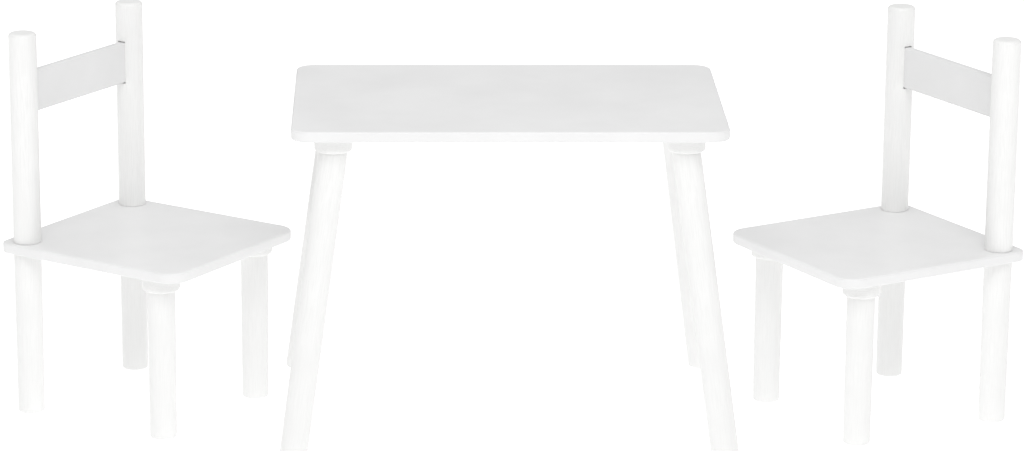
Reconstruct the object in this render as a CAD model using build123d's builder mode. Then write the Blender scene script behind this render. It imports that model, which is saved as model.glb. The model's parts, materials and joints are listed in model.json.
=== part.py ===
from build123d import *
import math
import os

os.makedirs("parts", exist_ok=True)

# A child's table and two matching chairs, in millimetres. +Z is up and the floor is z = 0.
# The table's long side faces -Y; one chair stands at each end of the table, turned partly
# towards it. Every board is the same lacquered sheet and every leg the same round stock.

# ---------------------------------------------------------------- driving sizes
board_thickness = 15
board_edge_radius = 3
leg_diameter = 40
foot_diameter = 38.4
foot_edge_radius = 3

table_width = 600
table_depth = 400
table_height = 475
table_corner_radius = 26
table_leg_inset_x = 61  # from the end of the top to the leg's axis, under the board
table_leg_inset_y = 50
table_splay_x = 62.5  # how far each foot stands outside the head of its leg
table_splay_y = 100

seat_width = 300
seat_depth = 315
seat_height = 254
seat_front_corner_radius = 30
seat_rear_corner_radius = 17
chair_height = 560
post_inset_x = 26.5  # from the edge of the seat to the axis of a rear post
post_inset_y = 32.5
front_leg_inset_x = 38
front_leg_inset_y = 53
post_tip_radius = 5

rail_height = 60
rail_thickness = 12
rail_drop = 58  # from the top of the posts down to the top of the rail
rail_edge_radius = 2.5

collar_diameter = 53
collar_thickness = 22
collar_edge_radius = 5

left_chair_x = -510.5  # chair centres, from the centre of the table
left_chair_y = 69.5
left_chair_turn = 56.3
right_chair_x = 530
right_chair_y = 41
right_chair_turn = -60.5

# ---------------------------------------------------------------- fasteners
fit_gap = 0.05  # radial play of every pin, screw and bolt in its hole
bolt_diameter = 8
bolt_groove = 0.6
thread_pitch = 3
insert_diameter = 12
insert_length = 12
insert_floor = 1.8  # collar left between its lower face and the insert
bolt_in_leg = 36
bolt_in_collar = 14
stud_in_post = 36
stud_in_leg = 36
screw_diameter = 4
screw_head_diameter = 7.5
screw_head_rim = 0.5
screw_tip = 3
screw_recess = 1.4
collar_screw_count = 3
collar_screw_ring = 14
collar_screw_sink = 0.5
collar_screw_length = 30
rail_screw_length = 31
rail_screw_sink = 1.2
slot_play_height = 1.5  # the rail's slot is this much taller at each end
slot_play_end = 1
rail_past_axis = 6  # how far the end of the rail runs beyond the axis of its post
joint_edge_radius = 1  # eases the ends of legs and posts where they meet a board or collar

# ---------------------------------------------------------------- dependent sizes
leg_radius = leg_diameter / 2
foot_radius = foot_diameter / 2
bolt_radius = bolt_diameter / 2
insert_radius = insert_diameter / 2
screw_radius = screw_diameter / 2
screw_head_radius = screw_head_diameter / 2

table_underside = table_height - board_thickness
table_leg_top = table_underside - collar_thickness
table_leg_x = table_width / 2 - table_leg_inset_x
table_leg_y = table_depth / 2 - table_leg_inset_y

seat_underside = seat_height - board_thickness
front_leg_top = seat_underside - collar_thickness
post_x = seat_width / 2 - post_inset_x
post_y = seat_depth / 2 - post_inset_y
front_leg_x = seat_width / 2 - front_leg_inset_x
front_leg_y = seat_depth / 2 - front_leg_inset_y
rail_top = chair_height - rail_drop
rail_middle = rail_top - rail_height / 2
rail_tip_x = post_x + rail_past_axis

corners = {
    "front_left": (-1, -1),
    "front_right": (1, -1),
    "rear_left": (-1, 1),
    "rear_right": (1, 1),
}
sides = {"left": -1, "right": 1}


# ---------------------------------------------------------------- shared shapes
def countersunk_screw(length, grow=0.0):
    """A countersunk wood screw along -Z, its head flush with z = 0; grow makes its hole."""
    head = screw_head_radius + grow
    shank = screw_radius + grow
    cone_end = screw_head_rim + screw_head_radius - screw_radius
    with BuildPart() as screw:
        with BuildSketch(Plane.XZ):
            with BuildLine():
                Polyline(
                    (0, grow),
                    (head, grow),
                    (head, -screw_head_rim),
                    (shank, -cone_end),
                    (shank, -length + screw_tip),
                    (0, -length - grow),
                    close=True,
                )
            make_face()
        revolve(axis=Axis.Z)
        if grow == 0:
            with BuildSketch(Plane.XY):
                Rectangle(screw_radius * 2, screw_radius / 2)
                Rectangle(screw_radius / 2, screw_radius * 2)
            extrude(amount=-screw_recess, mode=Mode.SUBTRACT)
    return screw.part


def threaded_rod(below, above):
    """A steel rod along Z with turned thread rings, reaching both ways from z = 0."""
    ring_count = int((below + above) / thread_pitch) - 1
    with BuildPart() as rod:
        with BuildSketch(Plane.XZ):
            with BuildLine():
                points = [(0, -below), (bolt_radius - bolt_groove, -below)]
                for ring in range(ring_count):
                    low = -below + (ring + 0.5) * thread_pitch
                    points.append((bolt_radius, low))
                    points.append((bolt_radius, low + thread_pitch / 3))
                    points.append((bolt_radius - bolt_groove, low + thread_pitch * 2 / 3))
                points.append((bolt_radius - bolt_groove, above))
                points.append((0, above))
                Polyline(*points, close=True)
            make_face()
        revolve(axis=Axis.Z)
    return rod.part


def threaded_insert():
    """A steel sleeve along +Z from z = 0, with two grooves that grip the wood."""
    groove = insert_length / 6
    with BuildPart() as sleeve:
        with BuildSketch():
            Circle(insert_radius)
            Circle(bolt_radius + fit_gap, mode=Mode.SUBTRACT)
        extrude(amount=insert_length)
        for level in (2 * groove, 4 * groove):
            with BuildSketch(Plane.XY.offset(level - groove / 2)):
                Circle(insert_radius)
                Circle(insert_radius - bolt_groove, mode=Mode.SUBTRACT)
            extrude(amount=groove, mode=Mode.SUBTRACT)
    return sleeve.part


def several(piece, places):
    """One node holding a separate copy of the piece at each place."""
    with BuildPart() as group:
        for place in places:
            add(piece.moved(place))
    return group.part


def round_leg(head, foot):
    """A turned leg from foot to head, its ends cut level, with a bolt hole in its head."""
    run = Vector(*head) - Vector(*foot)
    spare = leg_radius * run.Z / run.length
    direction = run.normalized()
    low_plane = Plane(origin=Vector(*foot) - direction * spare, z_dir=direction)
    high_plane = Plane(origin=Vector(*head) + direction * spare, z_dir=direction)
    with BuildPart() as leg:
        with BuildSketch(low_plane):
            Circle(foot_radius)
        with BuildSketch(high_plane):
            Circle(leg_radius)
        loft()
        split(bisect_by=Plane.XY.offset(foot[2]), keep=Keep.TOP)
        split(bisect_by=Plane.XY.offset(head[2]), keep=Keep.BOTTOM)
        fillet(leg.edges().group_by(Axis.Z)[0], foot_edge_radius)
        fillet(leg.edges().group_by(Axis.Z)[-1], joint_edge_radius)
        with BuildSketch(Plane(origin=head, z_dir=direction)):
            Circle(bolt_radius + fit_gap)
        extrude(amount=bolt_in_leg + bolt_radius, both=True, mode=Mode.SUBTRACT)
    return leg.part


def collar(centre, top, direction):
    """A turned disc under a board, bored for the insert and its bolt and for its screws."""
    bottom = top - collar_thickness
    insert_base = Vector(*centre, bottom) + direction * insert_floor
    with BuildPart() as disc:
        with BuildSketch(Plane.XY.offset(bottom)):
            with Locations(centre):
                Circle(collar_diameter / 2)
        extrude(amount=collar_thickness)
        fillet(disc.edges().group_by(Axis.Z)[0], collar_edge_radius)
        with BuildSketch(Plane(origin=insert_base, z_dir=direction)):
            Circle(insert_radius + fit_gap)
        extrude(amount=insert_length + fit_gap, mode=Mode.SUBTRACT)
        with BuildSketch(Plane(origin=insert_base, z_dir=direction)):
            Circle(bolt_radius + fit_gap)
        extrude(amount=collar_thickness, both=True, mode=Mode.SUBTRACT)
        for place in collar_screw_places(centre, bottom):
            add(collar_screw_hole.moved(place), mode=Mode.SUBTRACT)
    return disc.part


def collar_screw_places(centre, bottom):
    """Where a collar's screws stand: on a ring, head down, driven up into the board."""
    places = []
    for step in range(collar_screw_count):
        angle = math.radians(90 + step * 360 / collar_screw_count)
        x = centre[0] + collar_screw_ring * math.cos(angle)
        y = centre[1] + collar_screw_ring * math.sin(angle)
        places.append(Location((x, y, bottom + collar_screw_sink), (180, 0, 0)))
    return places


collar_screw = countersunk_screw(collar_screw_length)
collar_screw_hole = countersunk_screw(collar_screw_length, fit_gap)
rail_screw = countersunk_screw(rail_screw_length)
rail_screw_hole = countersunk_screw(rail_screw_length, fit_gap)
hanger_bolt = threaded_rod(bolt_in_leg, bolt_in_collar)
seat_stud = threaded_rod(stud_in_leg + board_thickness, stud_in_post)
insert_sleeve = threaded_insert()

# ---------------------------------------------------------------- the table
table_pieces = {}
table_screw_places = []
table_bolt_places = []
table_insert_places = []
leg_lean = Vector(table_splay_x, table_splay_y, table_underside)

for corner, (side_x, side_y) in corners.items():
    up = Vector(-side_x * leg_lean.X, -side_y * leg_lean.Y, leg_lean.Z).normalized()
    foot = (
        side_x * (table_leg_x + table_splay_x),
        side_y * (table_leg_y + table_splay_y),
        0,
    )
    head_point = Vector(*foot) + up * (table_leg_top / up.Z)
    head = (head_point.X, head_point.Y, table_leg_top)
    table_pieces[f"leg_{corner}"] = round_leg(head, foot)

    centre = (head[0], head[1])
    table_pieces[f"collar_{corner}"] = collar(centre, table_underside, up)
    table_screw_places += collar_screw_places(centre, table_leg_top)
    along = Plane(origin=head, z_dir=up).location
    table_bolt_places.append(along)
    table_insert_places.append(along * Location((0, 0, insert_floor)))

with BuildPart() as table_top:
    with BuildSketch(Plane.XY.offset(table_underside)):
        RectangleRounded(table_width, table_depth, table_corner_radius)
    extrude(amount=board_thickness)
    fillet(table_top.edges().group_by(Axis.Z)[0], board_edge_radius)
    fillet(table_top.edges().group_by(Axis.Z)[-1], board_edge_radius)
    for place in table_screw_places:
        add(collar_screw_hole.moved(place), mode=Mode.SUBTRACT)

table_pieces["top"] = table_top.part
table_pieces["collar_screws"] = several(collar_screw, table_screw_places)
table_pieces["hanger_bolts"] = several(hanger_bolt, table_bolt_places)
table_pieces["inserts"] = several(insert_sleeve, table_insert_places)

# ---------------------------------------------------------------- one chair
# Built about its own centre on the floor: X across, the back towards +Y.
chair_pieces = {}
chair_screw_places = []
chair_bolt_places = []
chair_insert_places = []
stud_places = []
rail_screw_places = []
straight_up = Vector(0, 0, 1)

for side, sign in sides.items():
    front = (sign * front_leg_x, -front_leg_y)
    rear = (sign * post_x, post_y)

    chair_pieces[f"front_leg_{side}"] = round_leg((*front, front_leg_top), (*front, 0))
    chair_pieces[f"collar_{side}"] = collar(front, seat_underside, straight_up)
    chair_screw_places += collar_screw_places(front, front_leg_top)
    chair_bolt_places.append(Location((*front, front_leg_top)))
    chair_insert_places.append(Location((*front, front_leg_top + insert_floor)))

    chair_pieces[f"rear_leg_{side}"] = round_leg((*rear, seat_underside), (*rear, 0))
    stud_places.append(Location((*rear, seat_height)))

    screw_place = Location((rear[0], rear[1] + leg_radius - rail_screw_sink, rail_middle), (-90, 0, 0))
    rail_screw_places.append(screw_place)
    slot_floor = sign * (post_x + rail_past_axis + slot_play_end)
    slot_plane = Plane(origin=(slot_floor, post_y, rail_middle), x_dir=(0, 1, 0), z_dir=(-sign, 0, 0))
    with BuildPart() as post:
        with BuildSketch(Plane.XY.offset(seat_height)):
            with Locations(rear):
                Circle(leg_radius)
        extrude(amount=chair_height - seat_height)
        fillet(post.edges().group_by(Axis.Z)[-1], post_tip_radius)
        fillet(post.edges().group_by(Axis.Z)[0], joint_edge_radius)
        with BuildSketch(slot_plane):
            Rectangle(rail_thickness + 2 * fit_gap, rail_height + 2 * slot_play_height)
        extrude(amount=leg_diameter, mode=Mode.SUBTRACT)
        with BuildSketch(Plane.XY.offset(seat_height)):
            with Locations(rear):
                Circle(bolt_radius + fit_gap)
        extrude(amount=stud_in_post + bolt_radius, mode=Mode.SUBTRACT)
        add(rail_screw_hole.moved(screw_place), mode=Mode.SUBTRACT)
        with BuildSketch(Plane.XZ.offset(-rear[1] - leg_radius + rail_screw_sink)):
            with Locations((rear[0], rail_middle)):
                Circle(screw_head_radius + fit_gap)
        extrude(amount=-leg_radius, mode=Mode.SUBTRACT)
    chair_pieces[f"post_{side}"] = post.part

with BuildPart() as seat:
    with BuildSketch(Plane.XY.offset(seat_underside)) as seat_outline:
        Rectangle(seat_width, seat_depth)
        fillet(seat_outline.vertices().group_by(Axis.Y)[0], seat_front_corner_radius)
        fillet(seat_outline.vertices().group_by(Axis.Y)[-1], seat_rear_corner_radius)
    extrude(amount=board_thickness)
    fillet(seat.edges().group_by(Axis.Z)[0], board_edge_radius)
    fillet(seat.edges().group_by(Axis.Z)[-1], board_edge_radius)
    with BuildSketch(Plane.XY.offset(seat_underside)):
        with Locations(*[(sign * post_x, post_y) for sign in sides.values()]):
            Circle(bolt_radius + fit_gap)
    extrude(amount=board_thickness, mode=Mode.SUBTRACT)
    for place in chair_screw_places:
        add(collar_screw_hole.moved(place), mode=Mode.SUBTRACT)

with BuildPart() as rail:
    with BuildSketch(Plane.XY.offset(rail_middle - rail_height / 2)):
        with Locations((0, post_y)):
            Rectangle(2 * rail_tip_x, rail_thickness)
    extrude(amount=rail_height)
    fillet(rail.edges().filter_by(Axis.X), rail_edge_radius)
    for place in rail_screw_places:
        add(rail_screw_hole.moved(place), mode=Mode.SUBTRACT)

chair_pieces["seat"] = seat.part
chair_pieces["back_rail"] = rail.part
chair_pieces["collar_screws"] = several(collar_screw, chair_screw_places)
chair_pieces["hanger_bolts"] = several(hanger_bolt, chair_bolt_places)
chair_pieces["inserts"] = several(insert_sleeve, chair_insert_places)
chair_pieces["seat_studs"] = several(seat_stud, stud_places)
chair_pieces["rail_screws"] = several(rail_screw, rail_screw_places)

# ---------------------------------------------------------------- the set
placed = {f"table_{name}": piece for name, piece in table_pieces.items()}
chair_places = {
    "left_chair": Location((left_chair_x, left_chair_y, 0), (0, 0, left_chair_turn)),
    "right_chair": Location((right_chair_x, right_chair_y, 0), (0, 0, right_chair_turn)),
}
for chair, place in chair_places.items():
    for name, piece in chair_pieces.items():
        placed[f"{chair}_{name}"] = piece.moved(place)

# The origin is on the floor, at the middle of the whole set.
boxes = [piece.bounding_box() for piece in placed.values()]
middle_x = (min(box.min.X for box in boxes) + max(box.max.X for box in boxes)) / 2
middle_y = (min(box.min.Y for box in boxes) + max(box.max.Y for box in boxes)) / 2
centring = Location((-middle_x, -middle_y, 0))

for name, piece in placed.items():
    node = piece.moved(centring)
    node.label = name
    export_step(node, f"parts/{name}.step")
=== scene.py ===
# %% [markdown]
# # A child's table and two chairs, painted white
# The set is flat-pack furniture: lacquered boards, turned legs and posts, and a few screws and
# bolts that nobody sees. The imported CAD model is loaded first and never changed. It says where
# every piece stands, so this lesson only has to give each piece a finer surface and a finish.
# Everything is in metres, +Z is up and the table's long side faces -Y.

# %% Load the frame
import json
import math

import bmesh
import bpy
from mathutils import Matrix, Vector


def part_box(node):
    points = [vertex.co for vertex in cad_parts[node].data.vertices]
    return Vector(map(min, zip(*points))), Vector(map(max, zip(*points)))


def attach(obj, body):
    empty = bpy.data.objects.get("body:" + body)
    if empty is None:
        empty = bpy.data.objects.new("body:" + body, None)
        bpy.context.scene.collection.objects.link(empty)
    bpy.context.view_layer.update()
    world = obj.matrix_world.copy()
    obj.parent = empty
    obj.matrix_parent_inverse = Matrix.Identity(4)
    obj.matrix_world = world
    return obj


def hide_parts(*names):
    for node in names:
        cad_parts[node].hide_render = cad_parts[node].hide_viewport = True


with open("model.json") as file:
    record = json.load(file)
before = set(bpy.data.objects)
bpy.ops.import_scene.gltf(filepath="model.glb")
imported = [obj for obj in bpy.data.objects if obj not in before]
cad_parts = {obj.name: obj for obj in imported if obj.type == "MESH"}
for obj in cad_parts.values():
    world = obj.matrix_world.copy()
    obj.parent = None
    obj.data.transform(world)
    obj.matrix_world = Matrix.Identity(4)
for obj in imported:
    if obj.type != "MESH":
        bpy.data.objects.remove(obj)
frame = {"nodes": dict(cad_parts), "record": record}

scene = bpy.context.scene
nodes = frame["nodes"]
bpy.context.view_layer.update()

# %% [markdown]
# ## Reading places from the frame
# Posts, collars and a chair's legs are upright turned pieces, so the middle of such a piece's box
# lies on its axis. A chair stands turned on the floor, and its own axes are read from its two
# rear posts: X runs from the left post to the right one, and Y points to the back. The splayed
# table legs end in feet that the record lists as places to rest on, so the feet's centres are
# read there.

# %% Places and axes
MM = 0.001
UP = Vector((0, 0, 1))


def middle(node):
    """The centre of a CAD node's box."""
    low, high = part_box(node)
    return (low + high) / 2


def chair_axes(chair):
    """The matrix from a chair's own axes, centred between its rear posts, to the set's."""
    left = middle(f"{chair}_post_left")
    right = middle(f"{chair}_post_right")
    across = (right - left).normalized()
    turn = Matrix((across, UP.cross(across), UP)).transposed().to_4x4()
    origin = (left + right) / 2
    return Matrix.Translation((origin.x, origin.y, 0)) @ turn


def own_box(node, axes):
    """The box of a CAD node along other axes than the set's."""
    inward = axes.inverted()
    points = [inward @ vertex.co for vertex in nodes[node].data.vertices]
    low = Vector([min(point[i] for point in points) for i in range(3)])
    high = Vector([max(point[i] for point in points) for i in range(3)])
    return low, high


feet = {mount["name"]: Vector(mount["pos_m"]) for mount in frame["record"]["mounts"]}
chairs = {name: chair_axes(name) for name in ("left_chair", "right_chair")}
for name, axes in chairs.items():
    print(name, "faces", [round(-value, 3) for value in axes.col[1][:2]])

# %% [markdown]
# ## Helpers for shaders
# Colours are written as sRGB hex, as they are read off a paint chart, and one function turns them
# to the linear values that a shader wants. The others make a shader node with its settings and
# links in one readable call, a ramp between two colours, and a material to start from.

# %% Colour and node helpers


def linear(hex_colour):
    """An sRGB hex colour as the linear RGBA that a shader socket takes."""
    channels = [int(hex_colour[i:i + 2], 16) / 255 for i in (1, 3, 5)]
    return [c / 12.92 if c <= 0.04045 else ((c + 0.055) / 1.055) ** 2.4 for c in channels] + [1.0]


def add_node(tree, kind, inputs=None, **settings):
    """Adds a shader node, sets its properties, and fills or links its inputs."""
    node = tree.nodes.new(kind)
    for name, value in settings.items():
        setattr(node, name, value)
    for socket, value in (inputs or {}).items():
        if isinstance(value, bpy.types.NodeSocket):
            tree.links.new(value, node.inputs[socket])
        else:
            node.inputs[socket].default_value = value
    return node


def two_colour_ramp(tree, factor, positions, first, second):
    """A ramp between two hex colours, which stand at two positions of the factor."""
    ramp = add_node(tree, "ShaderNodeValToRGB", {"Fac": factor})
    for element, position, colour in zip(ramp.color_ramp.elements, positions, (first, second)):
        element.position = position
        element.color = linear(colour)
    return ramp


def new_material(name):
    """A node material with only its Principled shader, ready for a finish."""
    material = bpy.data.materials.new(name)
    material.use_nodes = True
    return material, material.node_tree, material.node_tree.nodes["Principled BSDF"]


# %% [markdown]
# ## Sprayed white over wood
# All the wood in the set has the same paint system: a white primer and a white satin lacquer,
# both sprayed. What is left to see is the spray itself. It dries to a faint orange peel, the
# coats overlap in slow drifts of whiteness, and the gloss is a little uneven. A real peel is about
# 1.5 mm across, which is too fine to show from across a room, so it is drawn at 3 mm. A lacquer
# film has an IOR near 1.5, and satin is a roughness of about 0.4. The boards are fibreboard and
# have no grain. The turned pieces are beech, and the long pores of beech still show through the
# paint as hair-thin dashes that run along the piece.

# %% White finishes
PEEL = 3.0 * MM
DRIFT = 110 * MM
PORE_WIDTH = 1.4 * MM
PORE_LENGTH = 30 * MM
PEEL_DEPTH = 0.012 * MM
ALONG_Z = (PORE_WIDTH, PORE_WIDTH, PORE_LENGTH)
ALONG_X = (PORE_LENGTH, PORE_WIDTH, PORE_WIDTH)
SHADE_SPAN = (0.30, 0.62)  # the drift at which the darker white ends and the lighter one begins
GLOSS_SPAN = (0.35, 0.65)
PORE_SPAN = (0.34, 0.5)  # noise below the first is an open pore, above the second it is closed
LACQUER_IOR = 1.5
BOARD_GLOSS = (0.39, 0.43)
ROD_GLOSS = (0.37, 0.43)
# Painted light: the turned pieces' two whites are set a shade lighter than the boards' to stand in
# for the light they catch; the step between the two whites is the paint's own uneven tone.
ROD_WHITES_PAINTED_LIGHT = ("#EDEDEC", "#E9E9E8")
LEG_PORES = 0.012 * MM
COLLAR_PORES = 0.010 * MM


def sprayed_white(name, light, dark, gloss_range, pore_depth=0.0, pore_size=ALONG_Z):
    """White paint over wood; with a pore depth, the wood's grain shows through it."""
    material, tree, shader = new_material(name)
    place = add_node(tree, "ShaderNodeAttribute", attribute_name="grain").outputs["Vector"]
    drift = add_node(
        tree,
        "ShaderNodeTexNoise",
        {"Vector": place, "Scale": 1 / DRIFT, "Detail": 3.0, "Roughness": 0.6},
    ).outputs["Fac"]
    peel = add_node(
        tree,
        "ShaderNodeTexNoise",
        {"Vector": place, "Scale": 1 / PEEL, "Detail": 1.0, "Roughness": 0.4},
    ).outputs["Fac"]
    gloss = add_node(
        tree,
        "ShaderNodeMapRange",
        {"Value": drift, "From Min": GLOSS_SPAN[0], "From Max": GLOSS_SPAN[1],
         "To Min": gloss_range[0], "To Max": gloss_range[1]},
    )
    relief = add_node(
        tree, "ShaderNodeBump", {"Height": peel, "Strength": 1.0, "Distance": PEEL_DEPTH}
    )
    shade = drift
    if pore_depth:
        stretched = add_node(
            tree,
            "ShaderNodeMapping",
            {"Vector": place, "Scale": [1 / size for size in pore_size]},
        )
        pores = add_node(
            tree,
            "ShaderNodeTexNoise",
            {"Vector": stretched.outputs["Vector"], "Scale": 1.0, "Detail": 2.0, "Roughness": 0.5},
        ).outputs["Fac"]
        dashes = add_node(
            tree,
            "ShaderNodeMapRange",
            {"Value": pores, "From Min": PORE_SPAN[0], "From Max": PORE_SPAN[1]},
        ).outputs["Result"]
        relief = add_node(
            tree,
            "ShaderNodeBump",
            {"Height": dashes, "Strength": 1.0, "Distance": pore_depth,
             "Normal": relief.outputs["Normal"]},
        )
        shade = add_node(
            tree, "ShaderNodeMath", {0: drift, 1: dashes}, operation="MULTIPLY"
        ).outputs["Value"]
    ramp = two_colour_ramp(tree, shade, SHADE_SPAN, dark, light)
    tree.links.new(ramp.outputs["Color"], shader.inputs["Base Color"])
    tree.links.new(gloss.outputs["Result"], shader.inputs["Roughness"])
    tree.links.new(relief.outputs["Normal"], shader.inputs["Normal"])
    shader.inputs["IOR"].default_value = LACQUER_IOR
    return material


board_lacquer = sprayed_white("satin lacquer on fibreboard", "#E7E7E7", "#E3E3E3", BOARD_GLOSS)
# Painted shade: the rail wears the boards' lacquer, but its two whites are set a shade darker to
# stand in for the shade on its side-facing faces.
rail_lacquer_painted_shade = sprayed_white("satin lacquer on the rail", "#E2E2E2", "#DEDEDE", BOARD_GLOSS)
leg_paint_painted_light = sprayed_white("satin paint on turned beech", *ROD_WHITES_PAINTED_LIGHT, ROD_GLOSS, LEG_PORES)
collar_paint_painted_light = sprayed_white(
    "satin paint on beech discs", *ROD_WHITES_PAINTED_LIGHT, ROD_GLOSS, COLLAR_PORES, ALONG_X
)
print("white finishes:", [m.name for m in (board_lacquer, rail_lacquer_painted_shade, leg_paint_painted_light, collar_paint_painted_light)])

# %% [markdown]
# ## Zinc-plated steel
# Screws, bolts and inserts are bright zinc over steel. Tumbling in the plating barrel leaves them
# softly mottled: a pale blue-grey metal, half dull. The CAD pieces already have the right shape,
# so they stay and only get this finish. Only the heads of the rail's screws are ever seen.

# %% Steel
BARREL_MARK = 1.2 * MM
BARREL_SPAN = (0.3, 0.7)
STEEL_GLOSS = (0.25, 0.5)

zinc_steel, tree, shader = new_material("bright zinc on steel")
mottle = add_node(
    tree,
    "ShaderNodeTexNoise",
    {"Vector": add_node(tree, "ShaderNodeTexCoord").outputs["Object"],
     "Scale": 1 / BARREL_MARK, "Detail": 3.0},
).outputs["Fac"]
tone = two_colour_ramp(tree, mottle, BARREL_SPAN, "#A9ADB3", "#CDD0D4")
dullness = add_node(
    tree,
    "ShaderNodeMapRange",
    {"Value": mottle, "To Min": STEEL_GLOSS[0], "To Max": STEEL_GLOSS[1]},
)
tree.links.new(tone.outputs["Color"], shader.inputs["Base Color"])
tree.links.new(dullness.outputs["Result"], shader.inputs["Roughness"])
shader.inputs["Metallic"].default_value = 1.0

steel_nodes = [p["node"] for p in frame["record"]["subparts"] if p["material_slot"] == "zinc_steel"]
for name in steel_nodes:
    nodes[name].data.materials.clear()
    nodes[name].data.materials.append(zinc_steel)
print(len(steel_nodes), "nodes of steel pieces keep their CAD shape")

# %% [markdown]
# ## From a shape to a finished piece
# Each wooden piece is shaped upright, along its own axes or its chair's. Before it is leaned or
# turned into its place, every point keeps its position in an attribute called grain, so the
# paint follows the piece however it stands. Then the piece is shaded smooth with crisp corners,
# and a Weighted Normal modifier keeps the big flats flat beside their rounded edges. It rides on
# its body and stands for its CAD node.

# %% Shaping helpers
SHARP = math.radians(35)
ROUND_STEPS = 72
LEVEL_PLAY = 0.01 * MM


def rim(shape, level):
    """The edges of a shape that lie flat at one height."""
    return [e for e in shape.edges if all(abs(v.co.z - level) < LEVEL_PLAY for v in e.verts)]


def ease(shape, edges, radius, steps):
    """Rounds edges over, as a router bit or sandpaper does."""
    bmesh.ops.bevel(
        shape, geom=edges, offset=radius, offset_type="OFFSET", segments=steps,
        profile=0.5, affect="EDGES", clamp_overlap=True, material=-1,
    )


def keep_grain(shape):
    """Stamps each point's present position into the grain attribute."""
    grain = shape.verts.layers.float_vector.new("grain")
    for vertex in shape.verts:
        vertex[grain] = vertex.co


def finish_piece(shape, name, body, material):
    """Turns a shape into the visible piece that stands for the CAD node of the same name."""
    bmesh.ops.recalc_face_normals(shape, faces=shape.faces)
    mesh = bpy.data.meshes.new(f"{name}_wood")
    shape.to_mesh(mesh)
    shape.free()
    mesh.shade_smooth()
    mesh.set_sharp_from_angle(angle=SHARP)
    mesh.materials.append(material)
    piece = bpy.data.objects.new(f"{name}_wood", mesh)
    scene.collection.objects.link(piece)
    piece.modifiers.new("flat stays flat", "WEIGHTED_NORMAL").keep_sharp = True
    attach(piece, body)
    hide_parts(name)


# %% [markdown]
# ## Boards: the table top and the seats
# The real boards are cut from sheet, their corners rounded with a jigsaw and template, and their
# edges eased with a small round-over bit before spraying. A cube does the same here: it is
# stretched to the board's size, its upright edges are bevelled to the corner radius, and then
# the top and bottom rims are bevelled to the small radius of the bit.

# %% Boards
EASE = 3 * MM
TABLE_CORNER = 26 * MM
SEAT_FRONT_CORNER = 30 * MM
SEAT_REAR_CORNER = 17 * MM
CORNER_STEPS = 14
EASE_STEPS = 5


def block(low, high):
    """A plain block between two corners of its box."""
    shape = bmesh.new()
    bmesh.ops.create_cube(
        shape, size=1,
        matrix=Matrix.Translation((low + high) / 2) @ Matrix.Diagonal((*(high - low), 1)),
    )
    return shape


def board(low, high, front_corner, rear_corner):
    """A board with rounded corners and eased edges, between two corners of its box."""
    shape = block(low, high)
    size = high - low
    centre_y = (low.y + high.y) / 2
    for front, radius in ((True, front_corner), (False, rear_corner)):
        upright = [
            e for e in shape.edges
            if abs(e.verts[0].co.z - e.verts[1].co.z) > size.z / 2
            and (e.verts[0].co.y < centre_y) == front
            and abs(e.verts[0].co.y - centre_y) > size.y / 2 - EASE
        ]
        ease(shape, upright, radius, CORNER_STEPS)
    ease(shape, rim(shape, high.z) + rim(shape, low.z), EASE, EASE_STEPS)
    keep_grain(shape)
    return shape


low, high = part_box("table_top")
top = board(low, high, TABLE_CORNER, TABLE_CORNER)
finish_piece(top, "table_top", "table", board_lacquer)

for chair, axes in chairs.items():
    low, high = own_box(f"{chair}_seat", axes)
    seat = board(low, high, SEAT_FRONT_CORNER, SEAT_REAR_CORNER)
    bmesh.ops.transform(seat, matrix=axes, verts=seat.verts)
    finish_piece(seat, f"{chair}_seat", chair, board_lacquer)
    print(chair, "seat", [round(value / MM) for value in high - low], "mm")

# %% [markdown]
# ## Turned legs
# A leg is a beech rod, tapered a little towards the foot on the lathe. The chairs' legs stand
# straight. The table's legs lean outwards both ways, and their ends are sawn level, so that the
# foot sits flat on the floor and the head sits flat under its collar. A cone is the rod. It is
# made a little long, leaned over, and sawn with two planes. Then the foot is rounded well over,
# as sandpaper does, and the head is only broken, which draws the fine dark line at the joint.

# %% Legs
FOOT_EASE = 3 * MM
FOOT_STEPS = 6
JOINT_EASE = 1 * MM
JOINT_STEPS = 3
FOOT_TAPER = 38.4 / 40  # the diameter at the foot over the diameter at the head


def saw(shape, level, outward):
    """Saws a shape off level and closes the cut."""
    everything = shape.verts[:] + shape.edges[:] + shape.faces[:]
    cut = bmesh.ops.bisect_plane(
        shape, geom=everything, plane_co=(0, 0, level), plane_no=(0, 0, outward), clear_outer=True
    )
    ring = [e for e in cut["geom_cut"] if isinstance(e, bmesh.types.BMEdge)]
    bmesh.ops.edgeloop_fill(shape, edges=ring)


def turned_leg(foot, head, radius):
    """A tapered rod from the floor to its head, with level ends."""
    lean = (head - foot).normalized()
    length = (head - foot).length
    spare = radius  # more than a slanted end needs, and the saw takes it off
    slope = radius * (1 - FOOT_TAPER) / length
    shape = bmesh.new()
    bmesh.ops.create_cone(
        shape, cap_ends=True, segments=ROUND_STEPS, depth=length + 2 * spare,
        radius1=radius * FOOT_TAPER - slope * spare, radius2=radius + slope * spare,
        matrix=Matrix.Translation((0, 0, length / 2)),
    )
    keep_grain(shape)
    turn = UP.rotation_difference(lean).to_matrix().to_4x4()
    bmesh.ops.transform(shape, matrix=Matrix.Translation(foot) @ turn, verts=shape.verts)
    saw(shape, foot.z, -1)
    saw(shape, head.z, 1)
    ease(shape, rim(shape, foot.z), FOOT_EASE, FOOT_STEPS)
    ease(shape, rim(shape, head.z), JOINT_EASE, JOINT_STEPS)
    return shape


post_low, post_high = own_box("left_chair_post_left", chairs["left_chair"])
rod_radius = (post_high.y - post_low.y) / 2
print("rod diameter", round(2 * rod_radius / MM, 1), "mm")

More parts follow.
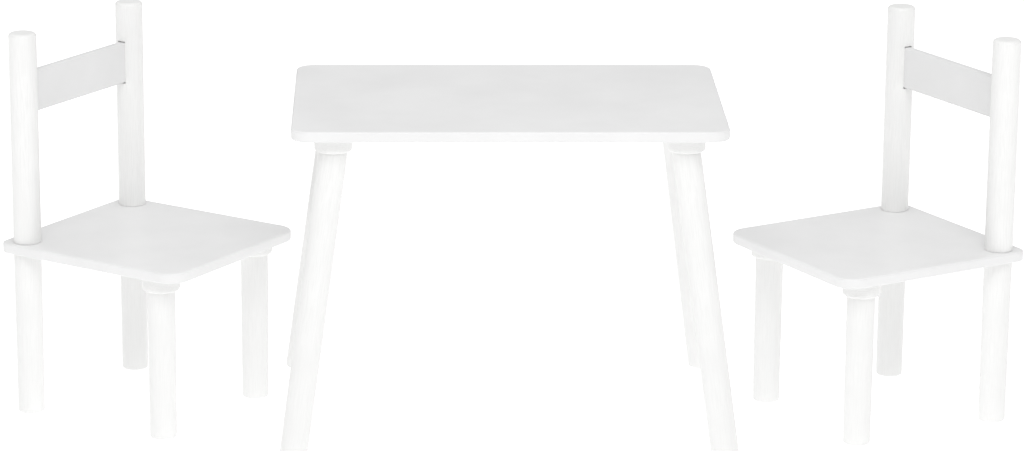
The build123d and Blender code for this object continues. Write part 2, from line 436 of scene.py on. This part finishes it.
CORNERS = ("front_left", "front_right", "rear_left", "rear_right")
for corner in CORNERS:
    collar_middle = middle(f"table_collar_{corner}")
    head_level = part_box(f"table_leg_{corner}")[1].z
    head = Vector((collar_middle.x, collar_middle.y, head_level))
    leg = turned_leg(feet[f"table_foot_{corner}"], head, rod_radius)
    finish_piece(leg, f"table_leg_{corner}", "table", leg_paint_painted_light)

for chair in chairs:
    for place in ("front_leg_left", "front_leg_right", "rear_leg_left", "rear_leg_right"):
        low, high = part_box(f"{chair}_{place}")
        centre = (low + high) / 2
        foot = Vector((centre.x, centre.y, low.z))
        leg = turned_leg(foot, Vector((centre.x, centre.y, high.z)), rod_radius)
        finish_piece(leg, f"{chair}_{place}", chair, leg_paint_painted_light)
print("12 turned legs")

# %% [markdown]
# ## Collars
# A collar is a turned disc screwed under the board. It hides the leg's bolt and gives the leg a
# wide seat. Most of its height is a plain rim, and its lower edge is rounded over towards the
# leg. A short cylinder with its bottom rim bevelled by about a quarter of its height is that.

# %% Collars
COLLAR_CURVE = 5 * MM
CURVE_STEPS = 9
COLLAR_EASE = 0.6 * MM
COLLAR_EASE_STEPS = 2


def turned_disc(low, high):
    """A disc with a softly curved lower edge, inside a box."""
    shape = bmesh.new()
    radius = (high.x - low.x) / 2
    bmesh.ops.create_cone(
        shape, cap_ends=True, segments=ROUND_STEPS, radius1=radius, radius2=radius,
        depth=high.z - low.z,
    )
    keep_grain(shape)
    bmesh.ops.translate(shape, vec=(low + high) / 2, verts=shape.verts)
    ease(shape, rim(shape, low.z), COLLAR_CURVE, CURVE_STEPS)
    ease(shape, rim(shape, high.z), COLLAR_EASE, COLLAR_EASE_STEPS)
    return shape


collars = {"table": [f"table_collar_{corner}" for corner in CORNERS]}
for chair in chairs:
    collars[chair] = [f"{chair}_collar_{side}" for side in ("left", "right")]
for body, names in collars.items():
    for name in names:
        finish_piece(turned_disc(*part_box(name)), name, body, collar_paint_painted_light)
print(sum(len(names) for names in collars.values()), "collars")

# %% [markdown]
# ## Posts and the back rail
# A post is the same rod, left straight, with its top rounded over. The rail drops into a mortise
# in each post, which the factory cuts a little tall so that the rail always goes in; the gaps
# show as small dark slits above and below it. A joiner would rout the mortise, and a Boolean
# modifier is Blender's router. It also sinks the hole for the screw that holds the rail from
# behind.

# %% Posts
POST_TIP = 5 * MM
TIP_STEPS = 8
SLIT = 1.5 * MM
RAIL_PLAY = 0.05 * MM
SLOT_END_PLAY = 1 * MM
SCREW_RECESS = 4 * MM
HOLE_STEPS = 32
RAIL_EASE = 2.5 * MM


def carve(blank, cutter):
    """Cuts one closed shape out of another and gives back what is left."""
    things = []
    for name, shape in (("blank", blank), ("cutter", cutter)):
        mesh = bpy.data.meshes.new(name)
        shape.to_mesh(mesh)
        shape.free()
        thing = bpy.data.objects.new(name, mesh)
        scene.collection.objects.link(thing)
        things.append(thing)
    router = things[0].modifiers.new("router", "BOOLEAN")
    router.operation = "DIFFERENCE"
    router.solver = "EXACT"
    router.object = things[1]
    view = bpy.context.evaluated_depsgraph_get()
    result = bpy.data.meshes.new_from_object(things[0].evaluated_get(view))
    carved = bmesh.new()
    carved.from_mesh(result)
    bpy.data.meshes.remove(result)
    for thing in things:
        bpy.data.meshes.remove(thing.data)
    return carved


def post(chair, axes, side, sign):
    """A rear post in the chair's own axes: rod, rounded top, mortise and screw hole."""
    low, high = own_box(f"{chair}_post_{side}", axes)
    rail_low, rail_high = own_box(f"{chair}_back_rail", axes)
    centre = (low + high) / 2
    radius = (high.y - low.y) / 2
    rod = bmesh.new()
    bmesh.ops.create_cone(
        rod, cap_ends=True, segments=ROUND_STEPS, radius1=radius, radius2=radius,
        depth=high.z - low.z, matrix=Matrix.Translation(centre),
    )
    ease(rod, rim(rod, high.z), POST_TIP, TIP_STEPS)
    ease(rod, rim(rod, low.z), JOINT_EASE, JOINT_STEPS)

    inner = centre.x - sign * 2 * radius
    outer = (rail_high.x if sign > 0 else rail_low.x) + sign * SLOT_END_PLAY
    mortise = block(
        Vector((min(inner, outer), rail_low.y - RAIL_PLAY, rail_low.z - SLIT)),
        Vector((max(inner, outer), rail_high.y + RAIL_PLAY, rail_high.z + SLIT)),
    )
    rod = carve(rod, mortise)

    screws_low, screws_high = own_box(f"{chair}_rail_screws", axes)
    head_radius = (screws_high.z - screws_low.z) / 2 + RAIL_PLAY
    hole = bmesh.new()
    at = Vector((centre.x, screws_high.y, (rail_low.z + rail_high.z) / 2))
    bmesh.ops.create_cone(
        hole, cap_ends=True, segments=HOLE_STEPS, radius1=head_radius, radius2=head_radius,
        depth=2 * SCREW_RECESS,
        matrix=Matrix.Translation(at) @ Matrix.Rotation(math.radians(90), 4, "X"),
    )
    return carve(rod, hole)


for chair, axes in chairs.items():
    for side, sign in (("left", -1), ("right", 1)):
        shape = post(chair, axes, side, sign)
        keep_grain(shape)
        bmesh.ops.transform(shape, matrix=axes, verts=shape.verts)
        finish_piece(shape, f"{chair}_post_{side}", chair, leg_paint_painted_light)

    rail = block(*own_box(f"{chair}_back_rail", axes))
    long_edges = [e for e in rail.edges if abs(e.verts[0].co.x - e.verts[1].co.x) > RAIL_EASE]
    ease(rail, long_edges, RAIL_EASE, EASE_STEPS)
    keep_grain(rail)
    bmesh.ops.transform(rail, matrix=axes, verts=rail.verts)
    finish_piece(rail, f"{chair}_back_rail", chair, rail_lacquer_painted_shade)
print("posts and rails")

# %% [markdown]
# ## Floor, light and camera
# The set stands on a white floor that seems to have no end. The floor is matt and glows, like a
# light table, so that no shadow shows on it and much of the light comes up from below. One large
# soft light hangs in front of the set and above it, and a white sky, dim at the horizon and
# bright overhead, fills the rest. The glow from below misses the tops of the boards, so these
# come out a shade darker than the legs. The camera stands 5.5 m away, a little above the set,
# with a long lens.

# %% Floor
FLOOR_HALF = 12.0
FLOOR_CELLS = 8
FLOOR_GLOW = 1.12

floor_shape = bmesh.new()
bmesh.ops.create_grid(
    floor_shape, x_segments=FLOOR_CELLS, y_segments=FLOOR_CELLS, size=FLOOR_HALF
)
floor_mesh = bpy.data.meshes.new("floor")
floor_shape.to_mesh(floor_mesh)
floor_shape.free()
floor = bpy.data.objects.new("floor", floor_mesh)
scene.collection.objects.link(floor)

floor_white, tree, shader = new_material("matt white floor")
shader.inputs["Base Color"].default_value = linear("#787878")
shader.inputs["Roughness"].default_value = 0.9
shader.inputs["Specular IOR Level"].default_value = 0.2
shader.inputs["Emission Color"].default_value = linear("#FFFFFF")
shader.inputs["Emission Strength"].default_value = FLOOR_GLOW
floor_mesh.materials.append(floor_white)

# %% Light
SKY_HORIZON = 0.36
SKY_ZENITH = 1.04
KEY_WATTS = 64
KEY_PLACE = Vector((0, -2.8, 3.5))
KEY_AIM = Vector((0, 0, 0.3))
KEY_SIZE = (3.2, 2.0)

world = bpy.data.worlds.new("studio")
world.use_nodes = True
direction = add_node(world.node_tree, "ShaderNodeTexCoord").outputs["Generated"]
height = add_node(world.node_tree, "ShaderNodeSeparateXYZ", {"Vector": direction}).outputs["Z"]
glow = add_node(
    world.node_tree,
    "ShaderNodeMapRange",
    {"Value": height, "To Min": SKY_HORIZON, "To Max": SKY_ZENITH},
)
background = world.node_tree.nodes["Background"]
world.node_tree.links.new(glow.outputs["Result"], background.inputs["Strength"])
background.inputs["Color"].default_value = linear("#FFFFFF")
scene.world = world

key_data = bpy.data.lights.new("key", "AREA")
key_data.shape = "RECTANGLE"
key_data.size, key_data.size_y = KEY_SIZE
key_data.energy = KEY_WATTS
key = bpy.data.objects.new("key", key_data)
key.location = KEY_PLACE
key.rotation_euler = (KEY_AIM - KEY_PLACE).to_track_quat("-Z", "Y").to_euler()
scene.collection.objects.link(key)
scene.view_settings.view_transform = "Standard"

# %% Camera
CAMERA_OFFSET = Vector((-0.160, -5.4645, 0))
CAMERA_HEIGHT = 1.8216
CAMERA_PITCH = 15.68  # degrees below level
CAMERA_SENSOR = 36  # the sensor's width and the lens in millimetres, as Blender takes them
CAMERA_LENS = 140.6
CAMERA_SHIFT = 0.116  # the set stands left of the middle of the view
CAMERA_REACH = 60

camera_data = bpy.data.cameras.new("camera")
camera_data.sensor_width = CAMERA_SENSOR
camera_data.lens = CAMERA_LENS
camera_data.shift_x = CAMERA_SHIFT
camera_data.clip_end = CAMERA_REACH
camera = bpy.data.objects.new("camera", camera_data)
camera.location = middle("table_top") + CAMERA_OFFSET
camera.location.z = CAMERA_HEIGHT
camera.rotation_euler = (math.radians(90 - CAMERA_PITCH), 0, 0)
scene.collection.objects.link(camera)
scene.camera = camera
